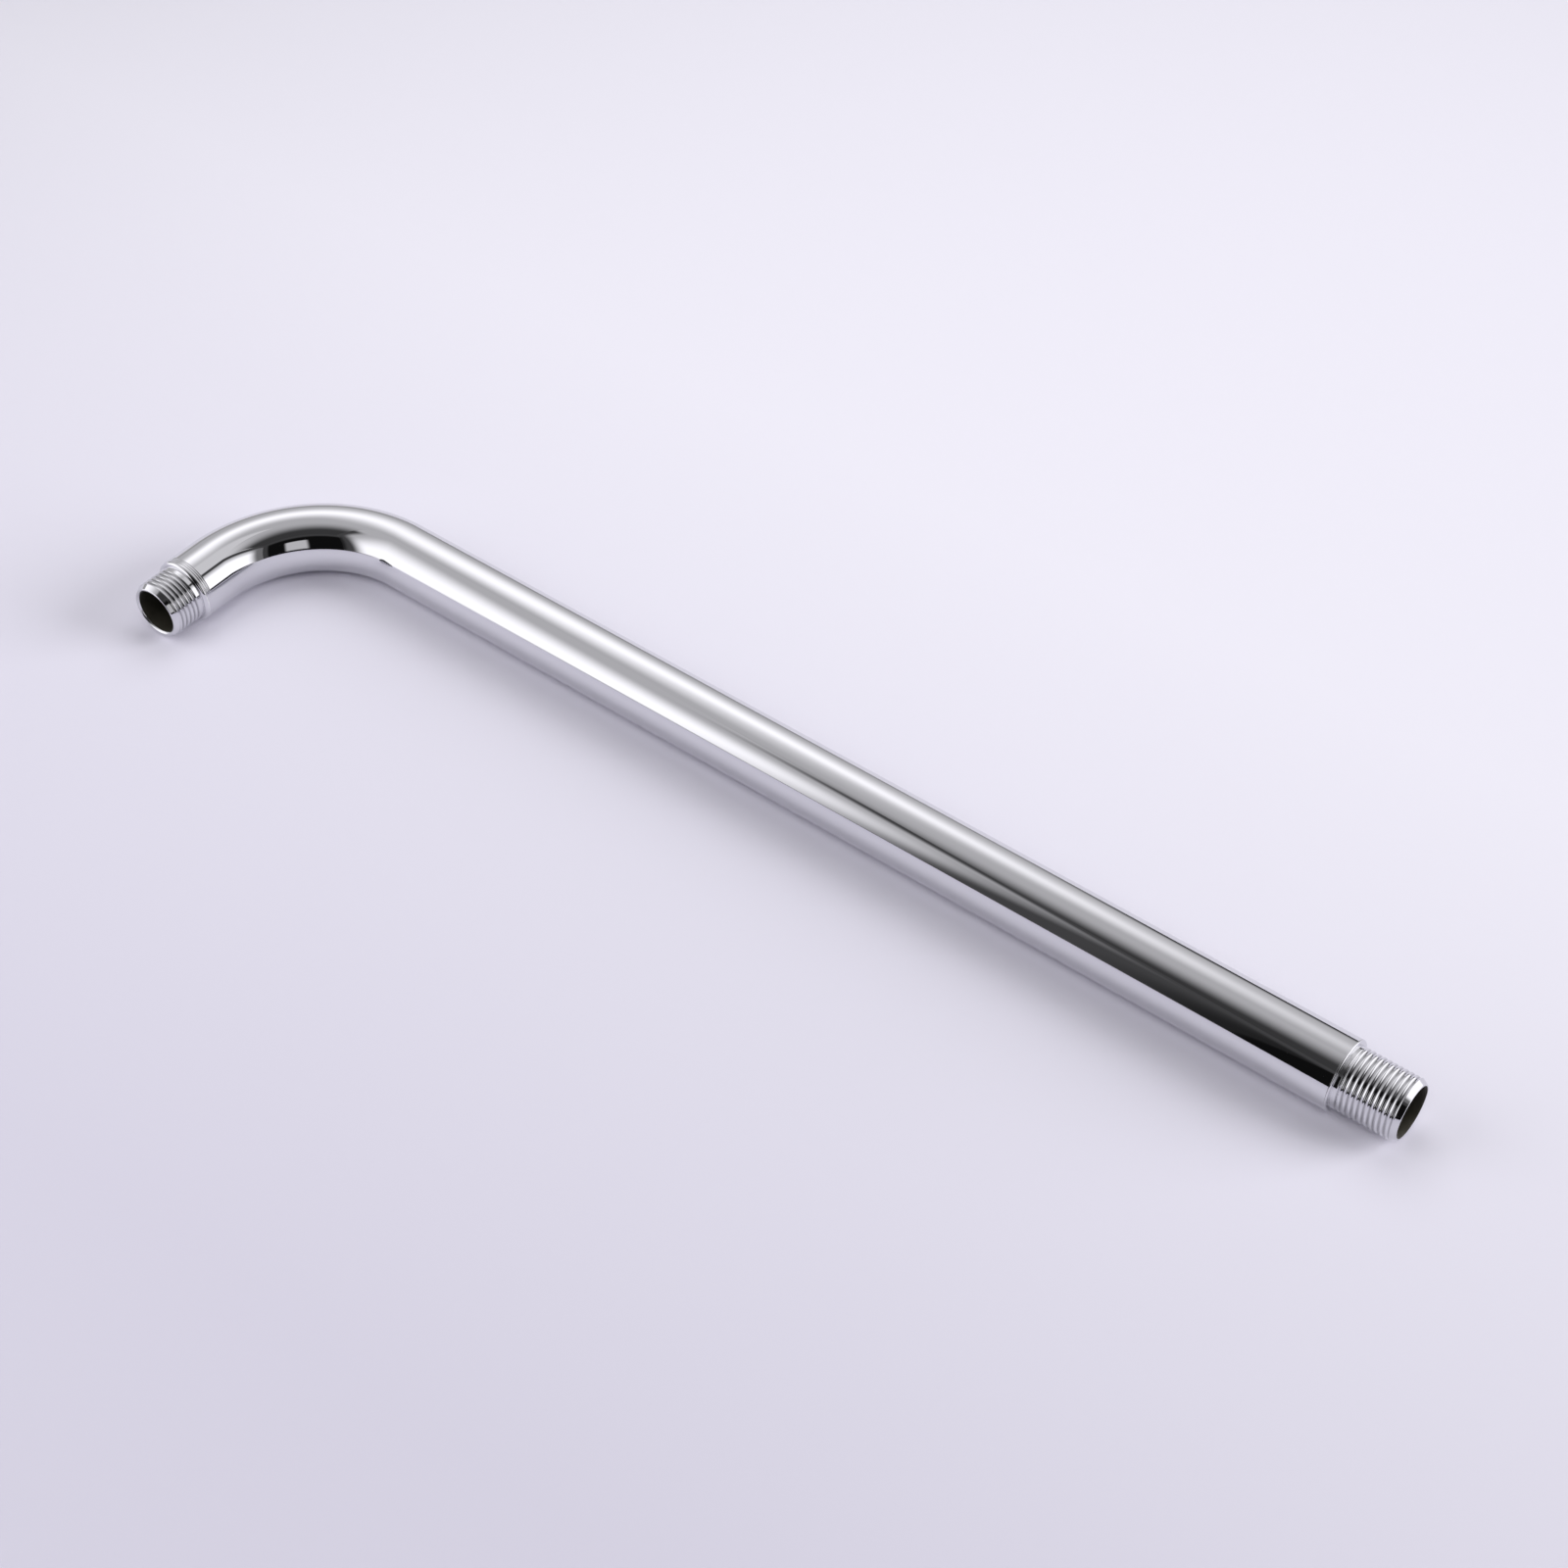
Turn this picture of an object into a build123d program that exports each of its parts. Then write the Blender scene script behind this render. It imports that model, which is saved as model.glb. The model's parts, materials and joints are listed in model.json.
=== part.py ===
"""Chrome-plated shower arm: one hollow tube with a long straight leg, a right-angle bend
and a short outlet leg, turned down at each end to a blank for a 1/2 inch parallel pipe thread.

The arm lies flat, as it comes to rest. The origin is the centre of the wall end's shoulder,
on the tube's axis. +X runs along the long leg to the bend, +Y runs out of the outlet leg
and +Z is up. All sizes are in millimetres.
"""

import os

from build123d import *

# Tube
TUBE_DIAMETER = 24.0
TUBE_WALL = 1.5
BEND_RADIUS = 48.0  # to the tube's axis
LONG_STRAIGHT = 380.0  # wall shoulder to the start of the bend
OUTLET_STRAIGHT = 14.0  # end of the bend to the outlet shoulder
BEND_ANGLE = 90.0  # degrees

# Threaded ends, 1/2 inch parallel pipe thread
THREAD_DIAMETER = 20.955  # over the crests
THREAD_DEPTH = 1.162  # crest to root
THREAD_WALL = 1.1  # metal between the root and the waterway
THREAD_LEAD = 2.0  # length of the cone that starts the thread
WALL_THREAD_LENGTH = 22.0  # shoulder to end face
OUTLET_THREAD_LENGTH = 13.0  # shoulder to end face
SOCKET_DEPTH = 9.0  # length of each thick end inside the tube

# Edges
MOUTH_CHAMFER = 0.6  # inside the rim of each mouth
WALL_EDGE_ROUND = 0.6  # on the crisp shoulder at the wall end
OUTLET_EDGE_ROUND = 1.35  # on the softer shoulder at the outlet end
EDGE_SHARE = 0.9  # the most of a shoulder's height that its round may take

# Worked out from the sizes above
tube_radius = TUBE_DIAMETER / 2
tube_bore_radius = tube_radius - TUBE_WALL
crest_radius = THREAD_DIAMETER / 2
root_radius = crest_radius - THREAD_DEPTH
mouth_radius = root_radius - THREAD_WALL
shoulder_height = tube_radius - crest_radius


def threaded_leg(straight: float, thread_length: float, edge_round: float) -> Part:
    """Turn one straight leg about the X axis, with its threaded end towards -X.

    The shoulder stands at x = 0, the end face at x = -thread_length and the cut end of
    the tube at x = straight.
    """
    end_face = -thread_length
    section = make_face(
        Polyline(
            (end_face, mouth_radius + MOUTH_CHAMFER),
            (end_face + MOUTH_CHAMFER, mouth_radius),
            (SOCKET_DEPTH, mouth_radius),
            (SOCKET_DEPTH, tube_bore_radius),
            (straight, tube_bore_radius),
            (straight, tube_radius),
            (0, tube_radius),
            (0, crest_radius),
            (end_face + THREAD_LEAD, crest_radius),
            (end_face, root_radius),
            close=True,
        )
    )
    shoulder_corner = section.vertices().sort_by_distance((0, tube_radius))[0]
    section = fillet(shoulder_corner, min(edge_round, EDGE_SHARE * shoulder_height))
    return revolve(section, axis=Axis.X)


def tube_bend() -> Part:
    """Turn the tube's ring section about the centre of the bend, from +X towards +Y."""
    ring = Circle(tube_radius) - Circle(tube_bore_radius)
    start = Plane.YZ.offset(LONG_STRAIGHT)
    centre_line = Axis((LONG_STRAIGHT, BEND_RADIUS, 0), (0, 0, 1))
    return revolve(start * ring, axis=centre_line, revolution_arc=BEND_ANGLE)


def shower_arm() -> Part:
    """Join the long leg, the bend and the outlet leg into one hollow piece."""
    long_leg = threaded_leg(LONG_STRAIGHT, WALL_THREAD_LENGTH, WALL_EDGE_ROUND)
    outlet_leg = threaded_leg(OUTLET_STRAIGHT, OUTLET_THREAD_LENGTH, OUTLET_EDGE_ROUND)
    # The outlet leg is drawn as the long one is, so it is turned end for end, set with its
    # cut end at the start of the bend, and swung round with the bend.
    at_bend_start = Location((LONG_STRAIGHT + OUTLET_STRAIGHT, 0, 0), (0, 0, 180))
    centre_line = Axis((LONG_STRAIGHT, BEND_RADIUS, 0), (0, 0, 1))
    outlet_leg = (at_bend_start * outlet_leg).rotate(centre_line, BEND_ANGLE)
    return long_leg + tube_bend() + outlet_leg


os.makedirs("parts", exist_ok=True)
export_step(shower_arm(), "parts/shower_arm.step")
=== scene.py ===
"""Chrome-plated shower arm on a pale studio floor.

The arm is one closed skin. Its section, a row of stations (distance along the centre line,
radius), runs from the wall mouth over the outside to the outlet mouth and back through the
waterway, and is carried round the centre line of the tube. The right-handed pipe threads are
cut into that skin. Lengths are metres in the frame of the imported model: the origin is the
centre of the wall shoulder, +X runs along the long leg, +Y out of the outlet and +Z is up.
"""

from __future__ import annotations

import json
import logging
import math
from dataclasses import dataclass
from enum import IntEnum

import bpy
import numpy as np
from mathutils import Matrix, Vector


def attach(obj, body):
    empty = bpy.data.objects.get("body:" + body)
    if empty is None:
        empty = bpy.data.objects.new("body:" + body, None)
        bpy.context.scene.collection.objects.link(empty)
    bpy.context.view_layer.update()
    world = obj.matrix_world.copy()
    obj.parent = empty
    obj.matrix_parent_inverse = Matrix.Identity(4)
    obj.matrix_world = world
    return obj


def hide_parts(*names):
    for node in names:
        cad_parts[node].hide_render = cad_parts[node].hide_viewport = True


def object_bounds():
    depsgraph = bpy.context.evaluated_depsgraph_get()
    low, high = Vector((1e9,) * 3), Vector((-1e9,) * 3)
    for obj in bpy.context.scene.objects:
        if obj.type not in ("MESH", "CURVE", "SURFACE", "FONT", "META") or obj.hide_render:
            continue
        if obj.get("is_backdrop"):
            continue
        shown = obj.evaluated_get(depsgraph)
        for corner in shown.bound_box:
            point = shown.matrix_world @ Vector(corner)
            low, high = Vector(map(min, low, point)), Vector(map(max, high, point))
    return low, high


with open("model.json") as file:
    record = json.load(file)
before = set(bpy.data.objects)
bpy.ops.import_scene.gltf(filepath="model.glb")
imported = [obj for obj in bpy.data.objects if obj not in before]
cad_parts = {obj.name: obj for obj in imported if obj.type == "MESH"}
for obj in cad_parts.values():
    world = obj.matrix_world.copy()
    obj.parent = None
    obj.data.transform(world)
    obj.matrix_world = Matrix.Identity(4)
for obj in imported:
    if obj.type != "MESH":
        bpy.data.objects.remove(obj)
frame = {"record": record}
CAD_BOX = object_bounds()

Colour = tuple[float, float, float, float]
Place = tuple[float, float, float]
Span = tuple[float, float]

MM = 0.001
FULL_TURN = 2.0 * math.pi
QUARTER_TURN = 0.5 * math.pi
NODE = "shower_arm"

# The round tube lies on the floor, so the floor is as far below its axis as its back is behind it.
FLOOR_LEVEL = CAD_BOX[0].y
# The way the camera looks, in degrees from +X towards +Y.
PICTURE_HEADING = -52.11
# Pale lilac that shows past the lit floor.
BACKGROUND = (0.80, 0.78, 0.88, 1.0)
# An end of a range that no point of a painted surface reaches, in metres or degrees.
OUT_OF_REACH = 999.0

log = logging.getLogger("shower_arm")


class Finish(IntEnum):
    """Finishes of the skin, in the order of its material slots."""

    POLISHED = 0
    TURNED = 1
    FACED = 2
    BARE = 3


def smooth_step(low: float, high: float, value: np.ndarray) -> np.ndarray:
    """Ease from 0 at low to 1 at high, flat at both ends.

    Args:
        low: Where the step starts.
        high: Where the step ends. It may be below low, and the step then falls.
        value: The numbers to ease.

    Returns:
        3 t^2 - 2 t^3, with t the share of the way from low to high.
    """
    t = np.clip((value - low) / (high - low), 0.0, 1.0)
    return t * t * (3.0 - 2.0 * t)


def spaced(start: float, end: float, step: float) -> np.ndarray:
    """Even steps from start to end, both included, of at most the given length."""
    return np.linspace(start, end, max(2, math.ceil(abs(end - start) / step) + 1))


def direction(azimuth: float, elevation: float) -> Vector:
    """Unit vector at two angles.

    Args:
        azimuth: Degrees from +Y towards +X.
        elevation: Degrees above the level.

    Returns:
        (cos elevation sin azimuth, cos elevation cos azimuth, sin elevation).
    """
    turn, rise = math.radians(azimuth), math.radians(elevation)
    level = math.cos(rise)
    return Vector((level * math.sin(turn), level * math.cos(turn), math.sin(rise)))


def mount(name: str) -> dict:
    """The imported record's mount of that name."""
    return next(m for m in frame["record"]["mounts"] if m["name"] == name)


class NodeSheet:
    """A node tree with short calls that add and join its nodes."""

    def __init__(self, tree: bpy.types.NodeTree) -> None:
        """Start from an empty tree."""
        self.tree = tree
        self.tree.nodes.clear()

    def fill(self, socket: bpy.types.NodeSocket, value: object) -> None:
        """Fill a socket.

        Args:
            socket: The socket of a node's input.
            value: A plain value, or another node's socket, which is linked to it.
        """
        if isinstance(value, bpy.types.NodeSocket):
            self.tree.links.new(value, socket)
        else:
            socket.default_value = value

    def add(self, kind: str, *ordered: object, **named: object) -> bpy.types.Node:
        """Add one node.

        Args:
            kind: The node's type, less its ShaderNode prefix.
            *ordered: What fills its first sockets, in their order.
            **named: What fills its sockets by name, with _ for a space.

        Returns:
            The new node.
        """
        node = self.tree.nodes.new("ShaderNode" + kind)
        for socket, value in zip(node.inputs, ordered):
            self.fill(socket, value)
        for name, value in named.items():
            self.fill(node.inputs[name.replace("_", " ")], value)
        return node

    def place(self) -> bpy.types.NodeSocket:
        """Object coordinates."""
        return self.add("TexCoord").outputs["Object"]

    def attribute(self, name: str) -> bpy.types.NodeSocket:
        """Read a number that the mesh carries.

        Args:
            name: The attribute's name.

        Returns:
            The socket of the number.
        """
        node = self.add("Attribute")
        node.attribute_name = name
        return node.outputs["Fac"]

    def noise(self, place: bpy.types.NodeSocket, size: float, detail: float) -> bpy.types.NodeSocket:
        """Noise whose blots are about size metres across, on the given coordinates."""
        return self.add("TexNoise", Vector=place, Scale=1.0 / size, Detail=detail).outputs[0]

    def spread(
        self, value: bpy.types.NodeSocket, low: float, high: float, span: Span = (0.3, 0.7)
    ) -> bpy.types.NodeSocket:
        """Map a span, such as the middle of a noise's range, to low and high.

        Args:
            value: The socket to map.
            low: The result at the start of the span and before it.
            high: The result at the end of the span and past it.
            span: The stretch of the value that is mapped.

        Returns:
            The socket of the result.
        """
        return self.add(
            "MapRange", Value=value, From_Min=span[0], From_Max=span[1], To_Min=low, To_Max=high
        ).outputs["Result"]

    def blend(self, share: bpy.types.NodeSocket, first: Colour, second: Colour) -> bpy.types.NodeSocket:
        """Mix two colours.

        Args:
            share: Share of the second colour, from 0 to 1.
            first: The colour at 0.
            second: The colour at 1.

        Returns:
            The socket of the mixed colour.
        """
        node = self.add("Mix")
        node.data_type = "RGBA"
        inputs = {socket.identifier: socket for socket in node.inputs}
        self.fill(inputs["Factor_Float"], share)
        self.fill(inputs["A_Color"], first)
        self.fill(inputs["B_Color"], second)
        return next(socket for socket in node.outputs if socket.identifier == "Result_Color")

    def looked_at(self) -> bpy.types.NodeSocket:
        """Tell what is looked at from what only gives light.

        Returns:
            A socket that is 1 for the camera, gloss and glass and 0 for other rays.
        """
        path = self.add("LightPath").outputs
        seen = path["Is Camera Ray"]
        for kind in ("Is Glossy Ray", "Is Transmission Ray"):
            either = self.add("Math", seen, path[kind])
            either.operation = "MAXIMUM"
            seen = either.outputs[0]
        return seen


def new_material(name: str) -> tuple[bpy.types.Material, NodeSheet]:
    """Make an empty material.

    Args:
        name: The material's name.

    Returns:
        The material and the sheet of its nodes.
    """
    material = bpy.data.materials.new(name)
    material.use_nodes = True
    return material, NodeSheet(material.node_tree)


@dataclass(frozen=True)
class OrangePeel:
    """The faint waviness of a plated surface: a very shallow bump."""

    size: float
    depth: float = 0.0006 * MM
    detail: float = 2.0

    def normal(self, sheet: NodeSheet, place: bpy.types.NodeSocket) -> bpy.types.NodeSocket:
        """Build the bump on the given coordinates, and return the socket of its normal."""
        height = sheet.noise(place, self.size, self.detail)
        return sheet.add("Bump", Height=height, Strength=1.0, Distance=self.depth).outputs[0]


@dataclass(frozen=True)
class ChromePlate:
    """Bright chrome plate: a mirror with faint patches of polishing haze and orange peel."""

    name: str
    colour: Colour = (0.70, 0.70, 0.72, 1.0)
    gloss: Span = (0.014, 0.032)
    haze_size: float = 18 * MM
    haze_detail: float = 3.0
    peel: OrangePeel = OrangePeel(2.2 * MM)

    def material(self) -> bpy.types.Material:
        """Build the plate: haze drives the roughness and orange peel the bump.

        Returns:
            The material.
        """
        material, sheet = new_material(self.name)
        place = sheet.place()
        haze = sheet.noise(place, self.haze_size, self.haze_detail)
        surface = sheet.add(
            "BsdfPrincipled",
            Base_Color=self.colour,
            Metallic=1.0,
            Roughness=sheet.spread(haze, *self.gloss),
            Normal=self.peel.normal(sheet, place),
        )
        sheet.add("OutputMaterial", Surface=surface.outputs[0])
        return material


@dataclass(frozen=True)
class TurnedChrome:
    """Plate on the cut threads: bright on the crests, darker and duller down in the roots, where the
    darker colour is partly thin plate and partly painted shade.
    """

    name: str
    crest: Colour = (0.68, 0.68, 0.70, 1.0)
    # Painted shade: the root colour is darker than the crest's to stand in for the shade down in the
    # grooves, besides the thinner plate there.
    root: Colour = (0.36, 0.36, 0.375, 1.0)
    gloss: Span = (0.05, 0.12)
    depth_span: Span = (0.5, 1.0)
    peel: OrangePeel = OrangePeel(0.9 * MM)

    def material(self) -> bpy.types.Material:
        """Build the plate: depth below the crest, from 0 to 1, drives its colour and gloss; the colour's
        darkening with depth is painted shade in the grooves as well as thinner plate.

        Returns:
            The material.
        """
        material, sheet = new_material(self.name)
        sunk = sheet.spread(sheet.attribute("thread_depth"), 0.0, 1.0, self.depth_span)
        surface = sheet.add(
            "BsdfPrincipled",
            Base_Color=sheet.blend(sunk, self.crest, self.root),
            Metallic=1.0,
            Roughness=sheet.spread(sunk, *self.gloss, span=(0.0, 1.0)),
            Normal=self.peel.normal(sheet, sheet.place()),
        )
        sheet.add("OutputMaterial", Surface=surface.outputs[0])
        return material


@dataclass(frozen=True)
class BareBrass:
    """Unplated brass inside the waterway, dulled and browned by heat and air."""

    name: str
    clean: Colour = (0.036, 0.033, 0.026, 1.0)
    stained: Colour = (0.020, 0.0185, 0.014, 1.0)
    gloss: Span = (0.45, 0.65)
    shine: float = 0.12
    stain_size: float = 6 * MM
    stain_detail: float = 4.0

    def material(self) -> bpy.types.Material:
        """Build the brass: one noise drives both the stains and the dullness.

        Returns:
            The material.
        """
        material, sheet = new_material(self.name)
        stain = sheet.noise(sheet.place(), self.stain_size, self.stain_detail)
        surface = sheet.add(
            "BsdfPrincipled",
            Base_Color=sheet.blend(sheet.spread(stain, 0.0, 1.0), self.clean, self.stained),
            Roughness=sheet.spread(stain, *self.gloss),
            Specular_IOR_Level=self.shine,
        )
        sheet.add("OutputMaterial", Surface=surface.outputs[0])
        return material


def new_object(name: str, vertices: np.ndarray, faces: np.ndarray) -> bpy.types.Object:
    """Make a mesh object at the origin.

    Args:
        name: The object's name.
        vertices: Points, (n, 3).
        faces: Point numbers of the faces, (m, 4).

    Returns:
        The object, linked to the scene.
    """
    mesh = bpy.data.meshes.new(name)
    mesh.vertices.add(len(vertices))
    mesh.vertices.foreach_set("co", vertices.astype(np.float32).ravel())
    mesh.loops.add(faces.size)
    mesh.loops.foreach_set("vertex_index", faces.astype(np.int32).ravel())
    mesh.polygons.add(len(faces))
    mesh.polygons.foreach_set("loop_start", np.arange(0, faces.size, faces.shape[1], dtype=np.int32))
    mesh.update(calc_edges=True)
    mesh.validate()
    made = bpy.data.objects.new(name, mesh)
    bpy.context.scene.collection.objects.link(made)
    return made


def grid_faces(shape: tuple[int, int]) -> np.ndarray:
    """Faces of an open grid of points, which are numbered row by row.

    Args:
        shape: The numbers of rows and columns of points.

    Returns:
        Point numbers of each face's four corners, (m, 4).
    """
    index = np.arange(shape[0] * shape[1]).reshape(shape)
    corners = [index[:-1, :-1], index[:-1, 1:], index[1:, 1:], index[1:, :-1]]
    return np.stack(corners, axis=-1).reshape(-1, 4)


@dataclass(frozen=True)
class CentreLine:
    """The tube's axis: a straight along +X, a quarter circle and a straight along +Y.

    Distances run along the axis from the wall shoulder. They are negative in the wall thread.
    """

    outlet_x: float
    bend_radius: float = 48 * MM

    @property
    def bend_start(self) -> float:
        """Distance at which the bend starts."""
        return self.outlet_x - self.bend_radius

    @property
    def bend_end(self) -> float:
        """Distance at which the bend ends."""
        return self.bend_start + QUARTER_TURN * self.bend_radius

    def at_outlet(self, y: float) -> float:
        """Distance of the point of the outlet leg at that y."""
        return self.bend_end + y - self.bend_radius

    def places(self, along: np.ndarray) -> tuple[np.ndarray, np.ndarray]:
        """Points of the axis and the level direction square to it.

        The heading turns from 0 to a quarter turn over the bend. In the bend the point is
        (start + R sin heading, R - R cos heading); past either end it goes straight on.

        Args:
            along: Distances along the axis.

        Returns:
            The points and the unit vectors that point to the inside of the bend, each (n, 3).
        """
        heading = np.clip((along - self.bend_start) / self.bend_radius, 0.0, QUARTER_TURN)
        before = np.minimum(along, self.bend_start)
        after = np.maximum(along - self.bend_end, 0.0)
        x = before + self.bend_radius * np.sin(heading)
        y = self.bend_radius * (1.0 - np.cos(heading)) + after
        zero = np.zeros_like(along)
        inward = np.stack([-np.sin(heading), np.cos(heading), zero], axis=1)
        return np.stack([x, y, zero], axis=1), inward


@dataclass(frozen=True)
class PipeThread:
    """Right-handed pipe thread, polished to a soft wave, 14 to the inch."""

    crest_radius: float
    pitch: float = 25.4 * MM / 14
    depth: float = 0.31 * MM

    def relief(self, phase: np.ndarray) -> np.ndarray:
        """Depth below the crest, depth/2 (1 + cos 2 pi phase), where phase counts pitches."""
        return 0.5 * self.depth * (1.0 + np.cos(FULL_TURN * phase))

    def radius(self, along: np.ndarray, turn: np.ndarray, share: np.ndarray) -> np.ndarray:
        """Radius of the threaded skin.

        The crest moves by one pitch along the axis in each turn, so the phase is
        along / pitch - turn / 2 pi.

        Args:
            along: Distances along the axis, (n, 1).
            turn: Angles round the axis, (1, m).
            share: Share of the full depth that is cut at each station, (n, 1).

        Returns:
            Radii, (n, m).
        """
        phase = along / self.pitch - turn / FULL_TURN
        return self.crest_radius - share * self.relief(phase)


@dataclass(frozen=True)
class Stations:
    """Stations of a section: distance along the axis, radius, thread share and finish."""

    along: np.ndarray
    radius: np.ndarray
    cut: np.ndarray
    finish: np.ndarray

    @staticmethod
    def of(
        along: np.ndarray | float,
        radius: np.ndarray | float,
        finish: Finish,
        cut: np.ndarray | None = None,
    ) -> Stations:
        """Make stations of one finish.

        Args:
            along: Distances along the axis, or one for all.
            radius: Radii, or one for all.
            finish: Finish of the skin from each station to the next.
            cut: Share of the thread's depth at each station. Without it they are plain.

        Returns:
            The stations.
        """
        along, radius = np.broadcast_arrays(np.asarray(along, float), np.asarray(radius, float))
        share = np.zeros(along.shape) if cut is None else cut
        return Stations(along, radius, share, np.full(along.shape, int(finish)))

    @staticmethod
    def join(runs: list[Stations]) -> Stations:
        """Put runs of stations end to end.

        Args:
            runs: The runs, in order.

        Returns:
            One run of all their stations.
        """
        return Stations(
            np.concatenate([run.along for run in runs]),
            np.concatenate([run.radius for run in runs]),
            np.concatenate([run.cut for run in runs]),
            np.concatenate([run.finish for run in runs]),
        )

    def placed(self, origin: float, sense: int) -> Stations:
        """Place an end's stations on the arm.

        Args:
            origin: Distance of the end's shoulder along the arm's axis.
            sense: 1 if the end points along the axis, or -1 if it points against it. The
                stations then come in turned order.

        Returns:
            The stations, measured along the arm's axis.
        """
        order = slice(None, None, sense)
        along = origin + sense * self.along
        return Stations(along[order], self.radius[order], self.cut[order], self.finish[order])


def corner(
    along: float, radius: float, size: float, start: float, end: float, count: int
) -> tuple[np.ndarray, np.ndarray]:
    """Points of a small round.

    Args:
        along: Centre of the round along the axis.
        radius: Centre of the round away from the axis.
        size: Radius of the round.
        start: First angle in degrees, 0 along the axis and 90 away from it.
        end: Last angle in degrees.
        count: Number of points.

    Returns:
        Arrays of distances along the axis and of radii.
    """
    angle = np.radians(np.linspace(start, end, count))
    return along + size * np.cos(angle), radius + size * np.sin(angle)


@dataclass(frozen=True)
class ThreadedEnd:
    """One end of the arm: shoulder, neck, thread, lead cone, rim and mouth.

    Its section is drawn with the shoulder at 0 and the mouth at the thread's length. The rows
    are the longest distances between stations, and the points are those on each small round.
    """

    tube_radius: float
    thread: PipeThread
    length: float
    edge_round: float = 0.6 * MM
    ring_depth: float = 0.0
    ring_pitch: float = 0.8 * MM
    ring_count: int = 3
    tube_bore: float = 10.5 * MM
    mouth_radius: float = 8.2155 * MM
    socket: float = 9.0 * MM
    neck: float = 1.3 * MM
    run_out: float = 0.6 * MM
    lead: float = 2.0 * MM
    lead_drop: float = 1.162 * MM
    chamfer: float = 0.6 * MM
    soft_edge: float = 0.10 * MM
    row: float = 0.085 * MM
    face_row: float = 0.3 * MM
    bore_row: float = 2.5 * MM
    ledge_row: float = 0.8 * MM
    shoulder_points: int = 12
    root_points: int = 5
    rim_points: int = 4
    lip_points: int = 3

    @property
    def reach(self) -> float:
        """Length of tube behind the shoulder that the section covers."""
        return self.edge_round + (self.ring_count + 1) * self.ring_pitch

    def tube(self) -> Stations:
        """End of the tube, with its fine turned rings.

        The rings are a wave, depth/2 (1 - cos 2 pi n), where n counts ring pitches from the
        shoulder's round. They start one pitch in and ease in over half a pitch.

        Returns:
            Stations up to the shoulder's round.
        """
        along = spaced(-self.reach, -self.edge_round, self.row)
        wave = np.cos(FULL_TURN * (along + self.edge_round) / self.ring_pitch)
        first = self.ring_pitch - self.reach
        ringed = smooth_step(first, first + 0.5 * self.ring_pitch, along)
        dip = 0.5 * self.ring_depth * ringed * (1.0 - wave)
        return Stations.of(along, self.tube_radius - dip, Finish.POLISHED)

    def shoulder(self) -> list[Stations]:
        """Round and face of the shoulder, and the soft corner at the foot of the neck.

        Returns:
            Runs of stations from the tube to the neck.
        """
        top = self.tube_radius - self.edge_round
        foot = self.thread.crest_radius + self.soft_edge
        edge = corner(-self.edge_round, top, self.edge_round, start=90, end=0, count=self.shoulder_points)
        face = spaced(top, foot, self.face_row)
        root = corner(self.soft_edge, foot, self.soft_edge, start=180, end=270, count=self.root_points)
        return [
            Stations.of(*edge, Finish.POLISHED),
            Stations.of(0.0, face[1:-1], Finish.POLISHED),
            Stations.of(*root, Finish.TURNED),
        ]

    def shank(self) -> Stations:
        """Neck, thread and lead cone.

        The radius is the crest's or, in the lead, the cone's, which falls evenly to the rim.
        The thread is cut from the neck on and gets to its full depth over the run-out.

        Returns:
            Stations from the neck to the rim.
        """
        crest = self.thread.crest_radius
        along = spaced(self.soft_edge, self.length - self.soft_edge, self.row)[1:]
        cone = crest - self.lead_drop * (along - self.length + self.lead) / self.lead
        cut = smooth_step(self.neck, self.neck + self.run_out, along)
        return Stations.of(along, np.minimum(crest, cone), Finish.TURNED, cut)

    def mouth(self) -> list[Stations]:
        """Rim, chamfer, narrow bore and the ledge where the tube's bore begins.

        The rim's round starts square to the cone, and the lip's ends square to the chamfer.

        Returns:
            Runs of stations from the cone to the tube's bore.
        """
        soft = self.soft_edge
        outer = self.thread.crest_radius - self.lead_drop
        inner = self.mouth_radius + self.chamfer
        rim = corner(self.length - soft, outer - soft, soft, start=60, end=0, count=self.rim_points)
        lip = corner(self.length - soft, inner + soft, soft, start=0, end=-45, count=self.lip_points)
        bore = spaced(self.length - self.chamfer, -self.socket, self.bore_row)
        ledge = spaced(self.mouth_radius, self.tube_bore, self.ledge_row)
        return [
            Stations.of(*rim, Finish.FACED),
            Stations.of(*lip, Finish.FACED),
            Stations.of(bore, self.mouth_radius, Finish.BARE),
            Stations.of(-self.socket, ledge[1:], Finish.BARE),
        ]

    def section(self) -> Stations:
        """The whole end, from the tube's outside to its bore."""
        return Stations.join([self.tube(), *self.shoulder(), self.shank(), *self.mouth()])


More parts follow.
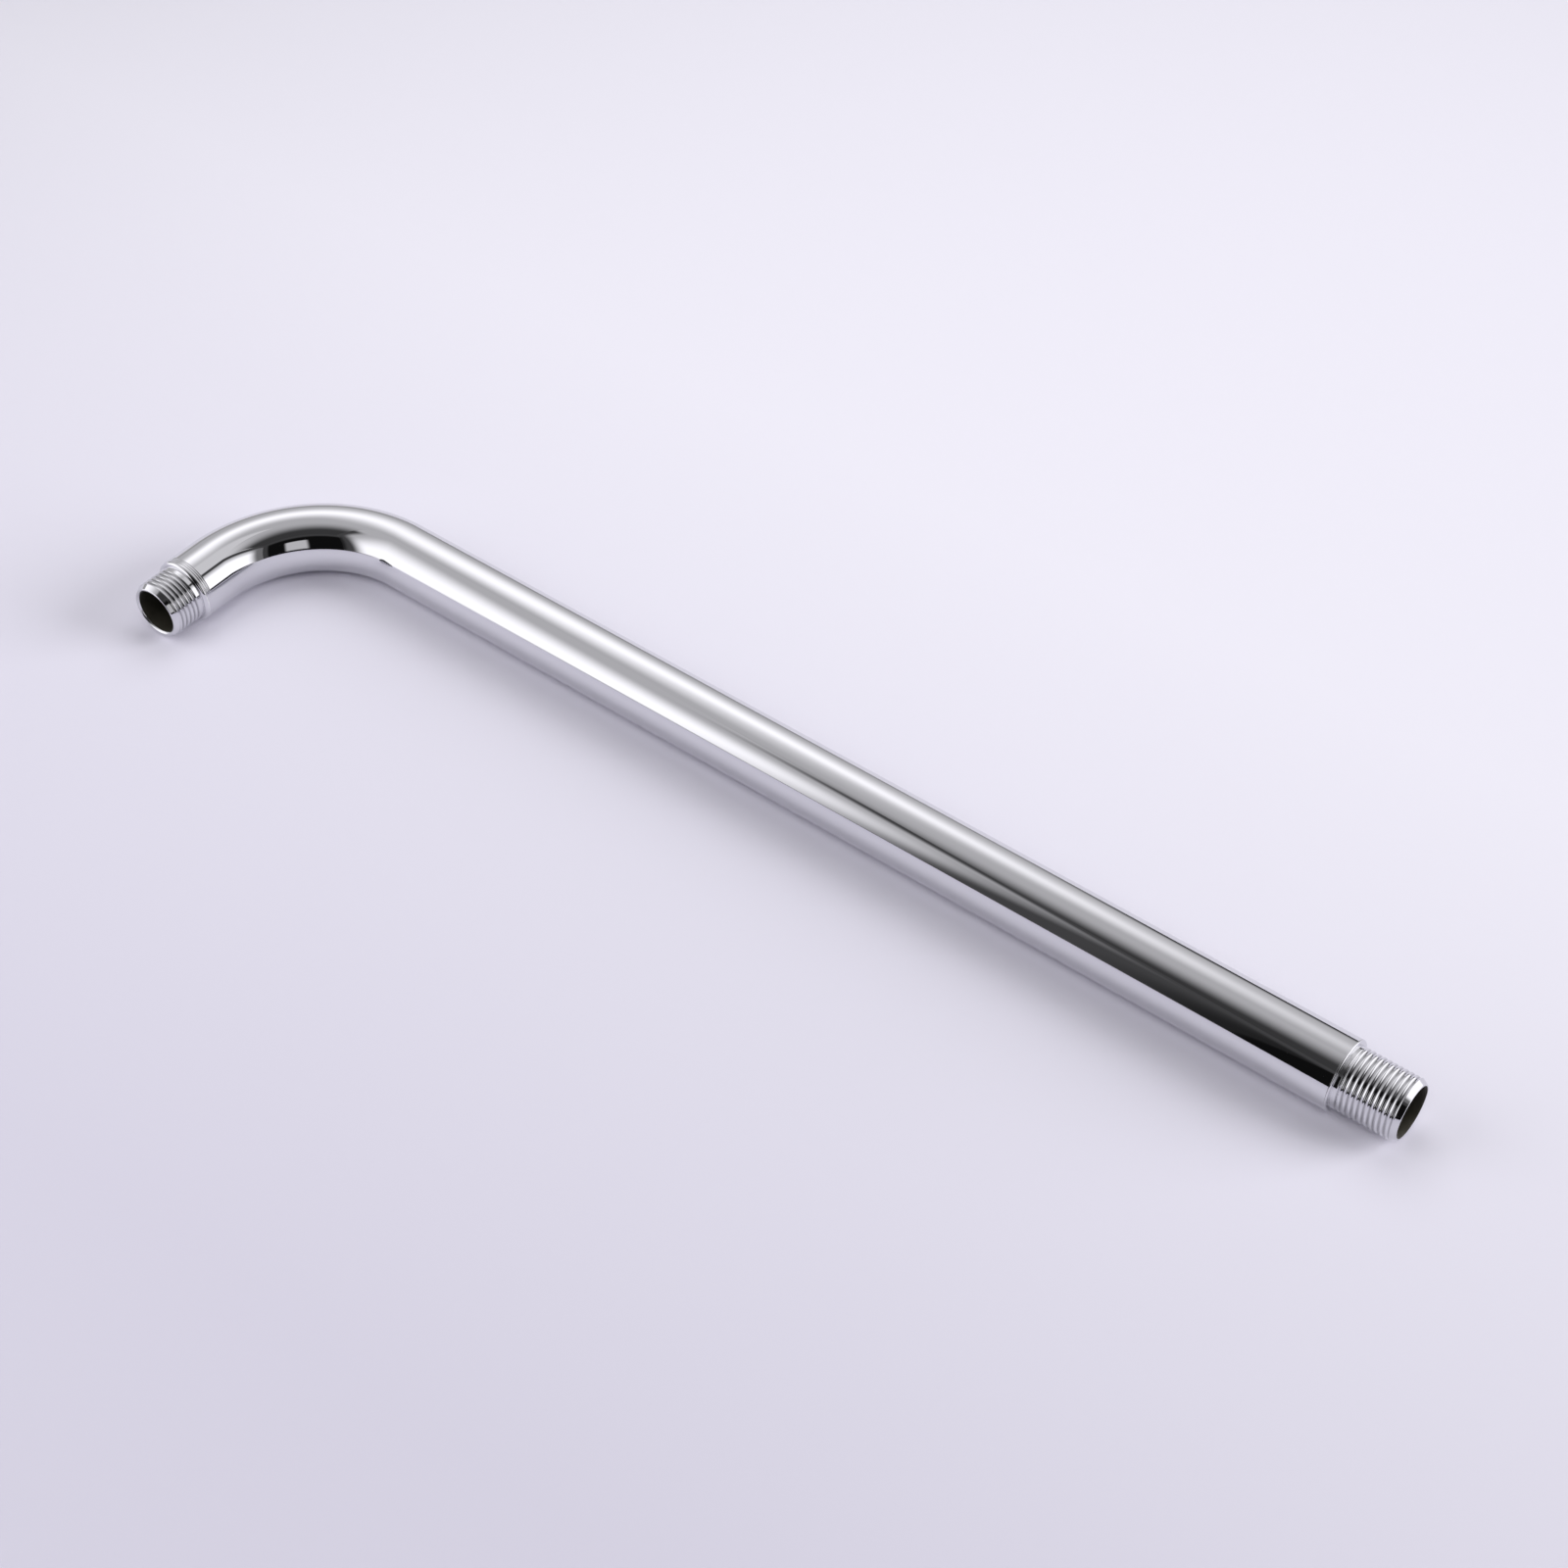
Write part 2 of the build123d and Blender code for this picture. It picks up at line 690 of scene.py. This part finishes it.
@dataclass(frozen=True)
class ShowerArm:
    """The arm: one closed skin round its centre line."""

    line: CentreLine
    wall: ThreadedEnd
    outlet: ThreadedEnd
    outlet_shoulder: float
    columns: int = 128
    straight_step: float = 9.0 * MM
    bend_step: float = 1.0 * MM
    inside_step: float = 4.0 * MM

    def along_tube(self, start: float, end: float, bend_step: float) -> np.ndarray:
        """Distances along the tube between its ends, closer together in the bend.

        Args:
            start: Where the wall end's stations stop. It is left out.
            end: Where the outlet end's stations start. It is left out.
            bend_step: Distance between stations in the bend.

        Returns:
            The distances.
        """
        first, last = self.line.bend_start, self.line.bend_end
        leg = spaced(start, first, self.straight_step)[1:]
        bend = spaced(first, last, bend_step)[1:]
        outlet_leg = spaced(last, end, self.straight_step)[1:-1]
        return np.concatenate([leg, bend, outlet_leg])

    def section(self) -> Stations:
        """The closed section: wall mouth, outside, outlet mouth and back through the bore.

        Returns:
            Its stations, the last of which goes on to the first.
        """
        shoulder, wall, outlet = self.outlet_shoulder, self.wall, self.outlet
        outside = self.along_tube(wall.reach, shoulder - outlet.reach, self.bend_step)
        inside = self.along_tube(wall.socket, shoulder - outlet.socket, self.inside_step)
        return Stations.join(
            [
                wall.section().placed(0.0, -1),
                Stations.of(outside, wall.tube_radius, Finish.POLISHED),
                outlet.section().placed(shoulder, 1),
                Stations.of(inside[::-1], wall.tube_bore, Finish.BARE),
            ]
        )

    def radii(self, rows: Stations, turn: np.ndarray) -> tuple[np.ndarray, np.ndarray]:
        """Radii of the skin, with the threads cut into it.

        A radius is its station's or, in a thread, the lesser of that and the thread's.

        Args:
            rows: Stations of the section.
            turn: Angles round the axis.

        Returns:
            The radii and the share of the thread's depth above each point, (stations, turns).
        """
        plain, cut = rows.radius[:, None], rows.cut[:, None]
        threaded = self.wall.thread.radius(rows.along[:, None], turn[None, :], cut)
        radius = np.where(cut > 0.0, np.minimum(plain, threaded), plain)
        return radius, (plain - radius) / self.wall.thread.depth

    def skin(self) -> tuple[np.ndarray, np.ndarray, np.ndarray, np.ndarray]:
        """Carry the section round the centre line.

        A point is axis(along) + r (cos turn * inward + sin turn * up).

        Returns:
            The vertices, the faces, each face's finish and, at each vertex, the share of
            the thread's depth that lies above it.
        """
        rows = self.section()
        turn = np.arange(self.columns) * (FULL_TURN / self.columns)
        radius, sunk = self.radii(rows, turn)
        points, inward = self.line.places(rows.along)
        up = np.array([0.0, 0.0, 1.0])
        spoke = np.cos(turn)[None, :, None] * inward[:, None, :] + np.sin(turn)[None, :, None] * up
        vertices = points[:, None, :] + radius[:, :, None] * spoke
        index = np.arange(radius.size).reshape(radius.shape)
        ahead = np.roll(index, -1, axis=0)
        faces = np.stack([index, np.roll(index, -1, 1), np.roll(ahead, -1, 1), ahead], axis=-1)
        finish = np.repeat(rows.finish, self.columns)
        return vertices.reshape(-1, 3), faces.reshape(-1, 4), finish, sunk.ravel()

    def build(self) -> bpy.types.Object:
        """Make the arm's skin, with each face's finish and the threads' depth.

        Returns:
            The object.
        """
        vertices, faces, finish, sunk = self.skin()
        arm = new_object("arm_skin", vertices, faces)
        arm.data.polygons.foreach_set("material_index", finish.astype(np.int32))
        arm.data.attributes.new("thread_depth", "FLOAT", "POINT").data.foreach_set("value", sunk)
        arm.data.shade_smooth()
        return arm

    def dress(self, arm: bpy.types.Object) -> None:
        """Give the skin its four finishes.

        Args:
            arm: The object that build made.
        """
        finishes = {
            Finish.POLISHED: ChromePlate("polished_chrome"),
            Finish.TURNED: TurnedChrome("turned_chrome"),
            Finish.FACED: ChromePlate("faced_rim", gloss=(0.20, 0.28), haze_size=1.5 * MM),
            Finish.BARE: BareBrass("bare_brass"),
        }
        for finish in Finish:
            arm.data.materials.append(finishes[finish].material())


@dataclass(frozen=True)
class StudioFloor:
    """A wide sheet of pale lilac paper that the arm lies on. Its colour grows paler towards the back:
    painted light for the lamps' fall-off over the floor.

    Away from its lit middle, the sheet is seen to go over into the plain background.
    """

    level: float
    background: Colour = BACKGROUND
    # Painted light: the paper's colour goes from darker at the front to paler at the back, in place of
    # the lamps' fall-off.
    front: Colour = (0.70, 0.675, 0.795, 1.0)
    back: Colour = (0.86, 0.84, 0.935, 1.0)
    front_y: float = 0.25
    back_y: float = -0.15
    roughness: float = 0.8
    shine: float = 0.2
    middle: Place = (0.2, 0.0, 0.0)
    lit_radius: float = 0.66
    far_radius: float = 0.85
    half_width: float = 4.0
    tiles: int = 40

    def build(self) -> bpy.types.Object:
        """Make the sheet: an even grid of points at one height.

        Returns:
            The object, staged.
        """
        side = np.linspace(-self.half_width, self.half_width, self.tiles + 1)
        x, y = np.meshgrid(side, side)
        points = np.stack([x, y, np.full_like(x, self.level)], axis=-1)
        floor = new_object("paper_floor", points.reshape(-1, 3), grid_faces(x.shape))
        floor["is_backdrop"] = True
        return floor

    def far_share(self, sheet: NodeSheet, place: bpy.types.NodeSocket) -> bpy.types.NodeSocket:
        """Share of the background at each point, by its distance from the middle.

        Args:
            sheet: The sheet of the paper's nodes.
            place: Object coordinates.

        Returns:
            A socket that goes from 0 to 1 where the floor is looked at and is 0 for other rays.
        """
        away = sheet.add("VectorMath", place, self.middle)
        away.operation = "DISTANCE"
        share = sheet.add(
            "MapRange",
            Value=away.outputs["Value"],
            From_Min=self.lit_radius,
            From_Max=self.far_radius,
            To_Max=sheet.looked_at(),
        )
        share.interpolation_type = "SMOOTHSTEP"
        return share.outputs["Result"]

    def dress(self, floor: bpy.types.Object) -> None:
        """Make the sheet of paper, and far from its middle of the plain background.

        Args:
            floor: The object that build made.
        """
        material, sheet = new_material("pale_paper")
        place = sheet.place()
        y = sheet.add("SeparateXYZ", Vector=place).outputs["Y"]
        # Painted light: the share of the paler back colour grows towards the back.
        paler = sheet.spread(y, 0.0, 1.0, (self.front_y, self.back_y))
        paper = sheet.add(
            "BsdfPrincipled",
            Base_Color=sheet.blend(paler, self.front, self.back),
            Roughness=self.roughness,
            Specular_IOR_Level=self.shine,
        )
        pale = sheet.add("Emission", Color=self.background, Strength=1.0)
        far = self.far_share(sheet, place)
        surface = sheet.add("MixShader", far, paper.outputs[0], pale.outputs[0])
        sheet.add("OutputMaterial", Surface=surface.outputs[0])
        material.cycles.emission_sampling = "NONE"
        floor.data.materials.append(material)


@dataclass(frozen=True)
class SoftRange:
    """A range with soft ends, each of which fades over its own width, half to each side."""

    low: float = -OUT_OF_REACH
    high: float = OUT_OF_REACH
    low_fade: float = 1.0
    high_fade: float = 1.0

    def share(self, value: np.ndarray) -> np.ndarray:
        """Tell how far values are inside the range.

        Args:
            value: The values.

        Returns:
            The product of a rising and a falling smooth step, from 0 outside to 1 inside.
        """
        low, high = 0.5 * self.low_fade, 0.5 * self.high_fade
        rise = smooth_step(self.low - low, self.low + low, value)
        return rise * smooth_step(self.high + high, self.high - high, value)


@dataclass(frozen=True)
class LightPatch:
    """A soft-edged patch of light or dark on a painted surface.

    Its ranges are in the surface's own coordinates. A lean moves the patch across by that
    much for each unit up.
    """

    level: float
    across: SoftRange = SoftRange()
    up: SoftRange = SoftRange()
    lean: float = 0.0

    def cover(self, across: np.ndarray, up: np.ndarray) -> np.ndarray:
        """Share of the patch at each point, from 0 outside to 1 inside."""
        return self.across.share(across - self.lean * up) * self.up.share(up)


@dataclass(frozen=True)
class LightPaint:
    """An even level of light with patches laid over it, later ones over earlier ones."""

    base: float
    patches: tuple[LightPatch, ...]

    def glow(self, across: np.ndarray, up: np.ndarray) -> np.ndarray:
        """Level of light at each point of a surface.

        Args:
            across: First coordinate of the points.
            up: Second coordinate of the points.

        Returns:
            The levels. Each patch takes its share of the way from the level below to its own.
        """
        glow = np.full(across.shape, self.base)
        for patch in self.patches:
            glow = glow + (patch.level - glow) * patch.cover(across, up)
        return glow


@dataclass(frozen=True)
class GlowFinish:
    """A surface that glows by its own paint and that only gloss shows."""

    tint: Colour = (1.0, 0.99, 1.02, 1.0)

    def material(self) -> bpy.types.Material:
        """Build the glow. It is met by reflections and is no lamp.

        Returns:
            The material.
        """
        material, sheet = new_material("studio_glow")
        light = sheet.add("Emission", Color=self.tint, Strength=sheet.attribute("glow"))
        sheet.add("OutputMaterial", Surface=light.outputs[0])
        material.cycles.emission_sampling = "NONE"
        return material

    def build(self, name: str, points: np.ndarray, glow: np.ndarray) -> bpy.types.Object:
        """Make a glowing sheet.

        Args:
            name: The object's name.
            points: A grid of points, (rows, columns, 3).
            glow: The level at each point, (rows, columns).

        Returns:
            The sheet, staged and hidden from everything but gloss.
        """
        made = new_object(name, points.reshape(-1, 3), grid_faces(glow.shape))
        made.data.attributes.new("glow", "FLOAT", "POINT").data.foreach_set("value", glow.ravel())
        made.data.materials.append(self.material())
        made.visible_camera = False
        made.visible_diffuse = False
        made.visible_transmission = False
        made.visible_volume_scatter = False
        made.visible_shadow = False
        made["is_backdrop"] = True
        return made


def dome_paint() -> LightPaint:
    """Paint the dome, in degrees of azimuth and elevation.

    Returns:
        A wide soft lamp at the back that falls off to the left, and bands along the floor.
    """
    right_glow = LightPatch(0.78, SoftRange(167, 240, 20, 20), SoftRange(low=40, low_fade=24))
    back_lamp = LightPatch(1.53, SoftRange(60, 159, 20, 44), SoftRange(28, 56.5, 43, 30))
    left_falloff = LightPatch(0.56, SoftRange(high=154, high_fade=36), lean=-1.0)
    skirting = LightPatch(0.34, SoftRange(141, 240, 6, 20), SoftRange(high=6, high_fade=10))
    left_skirting = LightPatch(0.38, SoftRange(60, 141, 20, 6), SoftRange(high=11, high_fade=10))
    left_sweep = LightPatch(0.80, SoftRange(60, 140, 20, 5), SoftRange(high=3, high_fade=5))
    back_corner = LightPatch(0.02, SoftRange(162.5, 240, 6, 20), SoftRange(high=9, high_fade=14))
    lamp = (right_glow, back_lamp, left_falloff)
    bands = (skirting, left_skirting, left_sweep, back_corner)
    return LightPaint(0.56, lamp + bands)


@dataclass(frozen=True)
class StudioDome:
    """The far parts of the studio: a painted dome, in degrees of azimuth and elevation.

    Azimuth is from +Y towards +X.
    """

    centre: Place
    radius: float = 3.0
    lowest: float = -2.0
    columns: int = 361
    rows: int = 185

    def build(self) -> bpy.types.Object:
        """Make the dome, from just below the level to the top.

        A point is the centre + radius (cos elevation sin azimuth, cos elevation cos azimuth,
        sin elevation).

        Returns:
            The object.
        """
        azimuths = np.linspace(0.0, 360.0, self.columns)
        elevations = np.linspace(self.lowest, 90.0, self.rows)
        azimuth, elevation = np.meshgrid(azimuths, elevations)
        turn, rise = np.radians(azimuth), np.radians(elevation)
        level = np.cos(rise)
        ball = np.stack([level * np.sin(turn), level * np.cos(turn), np.sin(rise)], axis=-1)
        points = np.array(self.centre) + self.radius * ball
        return GlowFinish().build("studio_dome", points, dome_paint().glow(azimuth, elevation))


class TentAxis(IntEnum):
    """Axes of the light tent: to the camera's right, towards the camera and up."""

    SIDE = 0
    DEPTH = 1
    HEIGHT = 2


@dataclass(frozen=True)
class TentPanel:
    """A flat panel of the light tent, square to one of its axes.

    The panel's across and up run along the other two axes, in their order.
    """

    name: str
    square_to: TentAxis
    place: float
    across: Span
    up: Span
    paint: LightPaint

    def grid(self, step: float) -> tuple[np.ndarray, np.ndarray]:
        """Lay an even grid over the panel.

        Args:
            step: The longest distance between its points.

        Returns:
            The points in the tent's axes, (rows, columns, 3), and their glow.
        """
        across, up = np.meshgrid(spaced(*self.across, step), spaced(*self.up, step))
        layers = [across, up]
        layers.insert(self.square_to, np.full_like(across, self.place))
        return np.stack(layers, axis=-1), self.paint.glow(across, up)


def left_paint() -> LightPaint:
    """Paint the tent's left side, in metres towards the camera and up.

    Returns:
        A soft box that leans forwards, dark in front of it and in a seam along the top.
    """
    front_shade = LightPatch(0.07, SoftRange(low=0.20, low_fade=0.26), lean=0.12)
    front_dark = LightPatch(
        0.02, SoftRange(low=0.48, low_fade=0.14), SoftRange(high=0.90, high_fade=0.20)
    )
    top_seam = LightPatch(
        0.07, SoftRange(low=-0.06, low_fade=0.16), SoftRange(low=0.79, low_fade=0.22)
    )
    soft_box = LightPatch(
        1.48, SoftRange(high=0.20, high_fade=0.26), SoftRange(high=0.44, high_fade=0.52), lean=0.12
    )
    skirting = LightPatch(
        0.15, SoftRange(low=-0.02, low_fade=0.24), SoftRange(high=0.015, high_fade=0.06)
    )
    return LightPaint(0.57, (front_shade, front_dark, top_seam, soft_box, skirting))


def right_paint() -> LightPaint:
    """Paint the tent's right side, in metres towards the camera and up.

    Returns:
        A low soft box along the whole side, a dark seam above it and shade in front.
    """
    soft_box = LightPatch(1.48, up=SoftRange(high=0.60, high_fade=0.22))
    top_seam = LightPatch(0.06, up=SoftRange(0.76, 0.955, 0.12, 0.06))
    front_shade = LightPatch(
        0.20, SoftRange(low=0.32, low_fade=0.22), SoftRange(high=0.84, high_fade=0.10)
    )
    front_top = LightPatch(
        0.07, SoftRange(low=0.20, low_fade=0.22), SoftRange(low=0.84, low_fade=0.10)
    )
    return LightPaint(0.74, (soft_box, top_seam, front_shade, front_top))


def ceiling_paint() -> LightPaint:
    """Paint the tent's ceiling, in metres to the right and towards the camera.

    Returns:
        A ceiling that is lighter to the right and goes dark forwards.
    """
    right_glow = LightPatch(0.75, SoftRange(low=0.24, low_fade=0.50))
    front_shade = LightPatch(0.05, up=SoftRange(low=-0.02, low_fade=0.52))
    return LightPaint(0.55, (right_glow, front_shade))


def front_paint() -> LightPaint:
    """Paint the tent's front, in metres to the right and up.

    Returns:
        A dark opening with a plain pale card in it.
    """
    opening = LightPatch(
        0.006, SoftRange(-0.635, 0.50, 0.05, 0.06), SoftRange(high=0.80, high_fade=0.14)
    )
    pale_card = LightPatch(
        0.63, SoftRange(-0.13, 0.17, 0.06, 0.06), SoftRange(0.08, 0.54, 0.06, 0.06)
    )
    return LightPaint(0.06, (opening, pale_card))


@dataclass(frozen=True)
class LightTent:
    """The near parts of the studio: panels round the arm, lined up with the camera."""

    foot: Place
    heading: float = PICTURE_HEADING
    width: Span = (-0.625, 0.625)
    depth: Span = (-0.45, 0.56)
    height: Span = (-0.05, 1.0)
    ceiling_back: float = -0.30
    step: float = 8 * MM

    def panels(self) -> tuple[TentPanel, ...]:
        """Lay the tent out.

        Returns:
            Its two sides, its ceiling and its front.
        """
        left, right = self.width
        front, top = self.depth[1], self.height[1]
        ceiling_depth = (self.ceiling_back, front)
        return (
            TentPanel("tent_left", TentAxis.SIDE, left, self.depth, self.height, left_paint()),
            TentPanel("tent_right", TentAxis.SIDE, right, self.depth, self.height, right_paint()),
            TentPanel("tent_ceiling", TentAxis.HEIGHT, top, self.width, ceiling_depth, ceiling_paint()),
            TentPanel("tent_front", TentAxis.DEPTH, front, self.width, self.height, front_paint()),
        )

    def build(self) -> list[bpy.types.Object]:
        """Turn each panel into the frame and make it.

        Returns:
            The panels' objects.
        """
        heading = math.radians(self.heading)
        to_right = [math.sin(heading), -math.cos(heading), 0.0]
        to_camera = [-math.cos(heading), -math.sin(heading), 0.0]
        axes = np.array([to_right, to_camera, [0.0, 0.0, 1.0]])
        made = []
        for panel in self.panels():
            points, glow = panel.grid(self.step)
            made.append(GlowFinish().build(panel.name, np.array(self.foot) + points @ axes, glow))
        return made


@dataclass(frozen=True)
class SoftLamp:
    """A large soft lamp that lights the floor and is not seen in the chrome.

    Its azimuth, from +Y towards +X, and its elevation are degrees as seen from its target.
    """

    name: str
    azimuth: float
    elevation: float
    distance: float
    size: float
    watts: float
    target: Place = (0.15, 0.05, 0.0)

    def build(self) -> bpy.types.Object:
        """Hang the lamp and aim it at its target.

        Returns:
            The object.
        """
        away = direction(self.azimuth, self.elevation)
        data = bpy.data.lights.new(self.name, "AREA")
        data.shape = "DISK"
        data.size = self.size
        data.energy = self.watts
        lamp = bpy.data.objects.new(self.name, data)
        lamp.location = Vector(self.target) + self.distance * away
        lamp.rotation_euler = away.to_track_quat("Z", "Y").to_euler()
        lamp.visible_glossy = False
        lamp.visible_camera = False
        bpy.context.scene.collection.objects.link(lamp)
        return lamp


def soft_lamps() -> tuple[SoftLamp, ...]:
    """List the floor's lamps.

    Returns:
        One lamp at each side, one high behind the camera and one high at the back.
    """
    return (
        SoftLamp("right_lamp", azimuth=237, elevation=21, distance=3.0, size=2.0, watts=88.0),
        SoftLamp("left_lamp", azimuth=53, elevation=35, distance=1.0, size=0.84, watts=2.9),
        SoftLamp("front_lamp", azimuth=328, elevation=56, distance=3.5, size=2.2, watts=34.0),
        SoftLamp("back_lamp", azimuth=150, elevation=58, distance=1.0, size=0.92, watts=3.25),
    )


@dataclass(frozen=True)
class StudioWorld:
    """Faint even light on the floor from all round, and the plain background past it."""

    fill: Colour = (0.09, 0.09, 0.09, 1.0)
    background: Colour = BACKGROUND

    def build(self) -> bpy.types.World:
        """Make the world and give it to the scene.

        Returns:
            The world.
        """
        world = bpy.data.worlds.new("studio")
        world.use_nodes = True
        sheet = NodeSheet(world.node_tree)
        colour = sheet.blend(sheet.looked_at(), self.fill, self.background)
        glow = sheet.add("Background", Color=colour, Strength=1.0)
        sheet.add("OutputWorld", Surface=glow.outputs[0])
        bpy.context.scene.world = world
        return world


@dataclass(frozen=True)
class StudioCamera:
    """The camera of the picture: place, heading and dip below the level in degrees, and lens."""

    place: Place = (-0.19677, 0.52410, 0.67113)
    heading: float = PICTURE_HEADING
    dip: float = 45.68
    lens: float = 66.2
    sensor: float = 36.0
    nearest: float = 10 * MM

    def build(self) -> bpy.types.Object:
        """Make the camera and the scene's active one of it.

        Returns:
            The object.
        """
        data = bpy.data.cameras.new("picture_camera")
        data.lens = self.lens
        data.sensor_width = self.sensor
        data.clip_start = self.nearest
        camera = bpy.data.objects.new("picture_camera", data)
        sight = direction(90.0 - self.heading, -self.dip)
        turned = sight.to_track_quat("-Z", "Y")
        camera.matrix_world = Matrix.LocRotScale(Vector(self.place), turned, None)
        bpy.context.scene.collection.objects.link(camera)
        bpy.context.scene.camera = camera
        return camera


def shower_arm() -> ShowerArm:
    """Work out the arm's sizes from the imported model.

    Returns:
        The arm. Its outlet's shoulder is rounder than the wall's and has turned rings.
    """
    low, high = CAD_BOX
    tube_radius = -low.y
    wall, outlet = mount("wall_thread"), mount("outlet_thread")
    outlet_x, shoulder_y, _ = outlet["pos_m"]
    outlet_length = high.y - shoulder_y
    thread = PipeThread(wall["dims"]["r_mm"] * MM)
    line = CentreLine(outlet_x)
    return ShowerArm(
        line=line,
        wall=ThreadedEnd(tube_radius, thread, -low.x),
        outlet=ThreadedEnd(
            tube_radius, thread, outlet_length, edge_round=1.35 * MM, ring_depth=0.10 * MM
        ),
        outlet_shoulder=line.at_outlet(shoulder_y),
    )


def main() -> None:
    """Build the arm and its studio."""
    logging.basicConfig(level=logging.INFO, format="%(name)s: %(message)s")
    arm_plan = shower_arm()
    arm = arm_plan.build()
    arm_plan.dress(arm)
    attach(arm, "root")
    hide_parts(NODE)
    log.info("%s: %d vertices, %d faces", arm.name, len(arm.data.vertices), len(arm.data.polygons))

    floor_plan = StudioFloor(FLOOR_LEVEL)
    floor = floor_plan.build()
    floor_plan.dress(floor)
    log.info("%s at %.1f mm", floor.name, FLOOR_LEVEL / MM)
    dome = StudioDome(centre=(0.20, 0.0, FLOOR_LEVEL)).build()
    log.info("%s: %d faces", dome.name, len(dome.data.polygons))
    for panel in LightTent(foot=(0.138, 0.107, FLOOR_LEVEL)).build():
        log.info("%s: %d faces", panel.name, len(panel.data.polygons))
    for lamp_plan in soft_lamps():
        lamp = lamp_plan.build()
        log.info("%s: %.1f W", lamp.name, lamp.data.energy)
    world = StudioWorld().build()
    log.info("%s world", world.name)
    camera = StudioCamera().build()
    log.info("%s: lens %.1f mm", camera.name, camera.data.lens)

    bpy.context.scene.view_settings.view_transform = "Standard"
    boxes = {"cad": CAD_BOX, "visual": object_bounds()}
    {name: [list(corner_) for corner_ in box] for name, box in boxes.items()}


if __name__ == "__main__":
    main()
